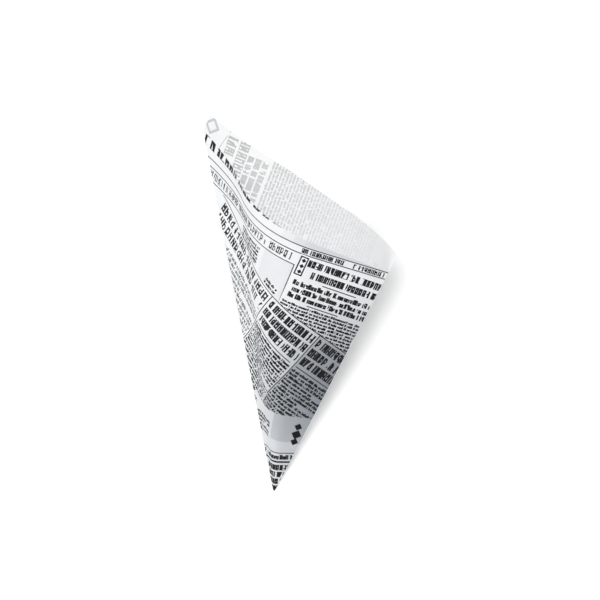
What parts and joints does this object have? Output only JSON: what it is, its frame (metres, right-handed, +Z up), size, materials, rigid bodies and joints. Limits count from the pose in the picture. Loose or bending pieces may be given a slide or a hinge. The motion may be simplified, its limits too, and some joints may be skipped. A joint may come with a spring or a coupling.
{
  "type": "french fry bag",
  "caption": "Open cone-shaped paper bag for fries, folded from a sheet printed like newspaper, lying on its back panel with its mouth open and a lip behind it.",
  "frame": {"origin": "centre of the bounding box on the surface that the bag lies on", "axes": "+Z up, +Y from the point to the mouth along the centre of the flat it rests on, +X towards the glued seam"},
  "size_m": [0.1452, 0.2456, 0.0663],
  "materials": {
    "paper": "matte"
  },
  "bodies": {
    "root": {"paper_cone": "paper"}
  },
  "joints": []
}
